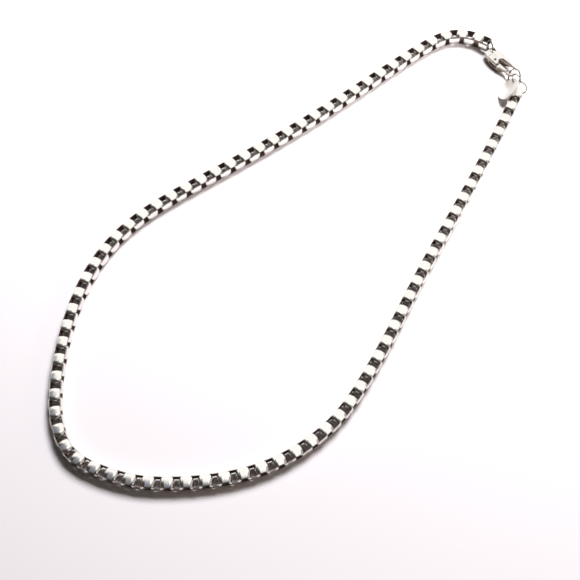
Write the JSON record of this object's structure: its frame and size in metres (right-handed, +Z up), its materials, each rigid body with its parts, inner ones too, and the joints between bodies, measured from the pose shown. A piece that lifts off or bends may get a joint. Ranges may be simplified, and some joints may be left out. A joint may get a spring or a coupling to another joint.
{
  "type": "box chain necklace",
  "caption": "Closed box chain necklace of interlocked square links with a lobster clasp, jump rings and a plain round tag, lying flat in a teardrop loop.",
  "frame": {"origin": "centre of the bounding box on the surface that the necklace lies on", "axes": "+Z up from the surface, +Y along the loop from its lowest bend towards the clasp, +X to the side of the end ring"},
  "size_m": [0.0929, 0.1931, 0.0065],
  "materials": {
    "chain_silver": "polished sterling silver, darkened in the recesses",
    "clasp_silver": "polished sterling silver",
    "ring_silver": "polished sterling silver wire",
    "tag_silver": "bright sterling silver, left plain"
  },
  "bodies": {
    "necklace": {"chain_left": "chain_silver", "chain_right": "chain_silver", "clasp_ring": "ring_silver", "clasp_body": "clasp_silver", "clasp_pin": "clasp_silver", "hook_ring": "ring_silver", "end_ring": "ring_silver", "tag_ring": "ring_silver", "tag": "tag_silver"},
    "lever": {"clasp_lever": "clasp_silver"}
  },
  "joints": [
    {"name": "lever_hinge", "type": "hinge", "parent": "necklace", "child": "lever", "pos_m": [0.00543, 0.09081, 0.0015], "axis": [0, 0, 1], "range_deg": [0, 18], "stiffness_Nm_per_rad": 0.004, "springref_deg": -11.46}
  ]
}
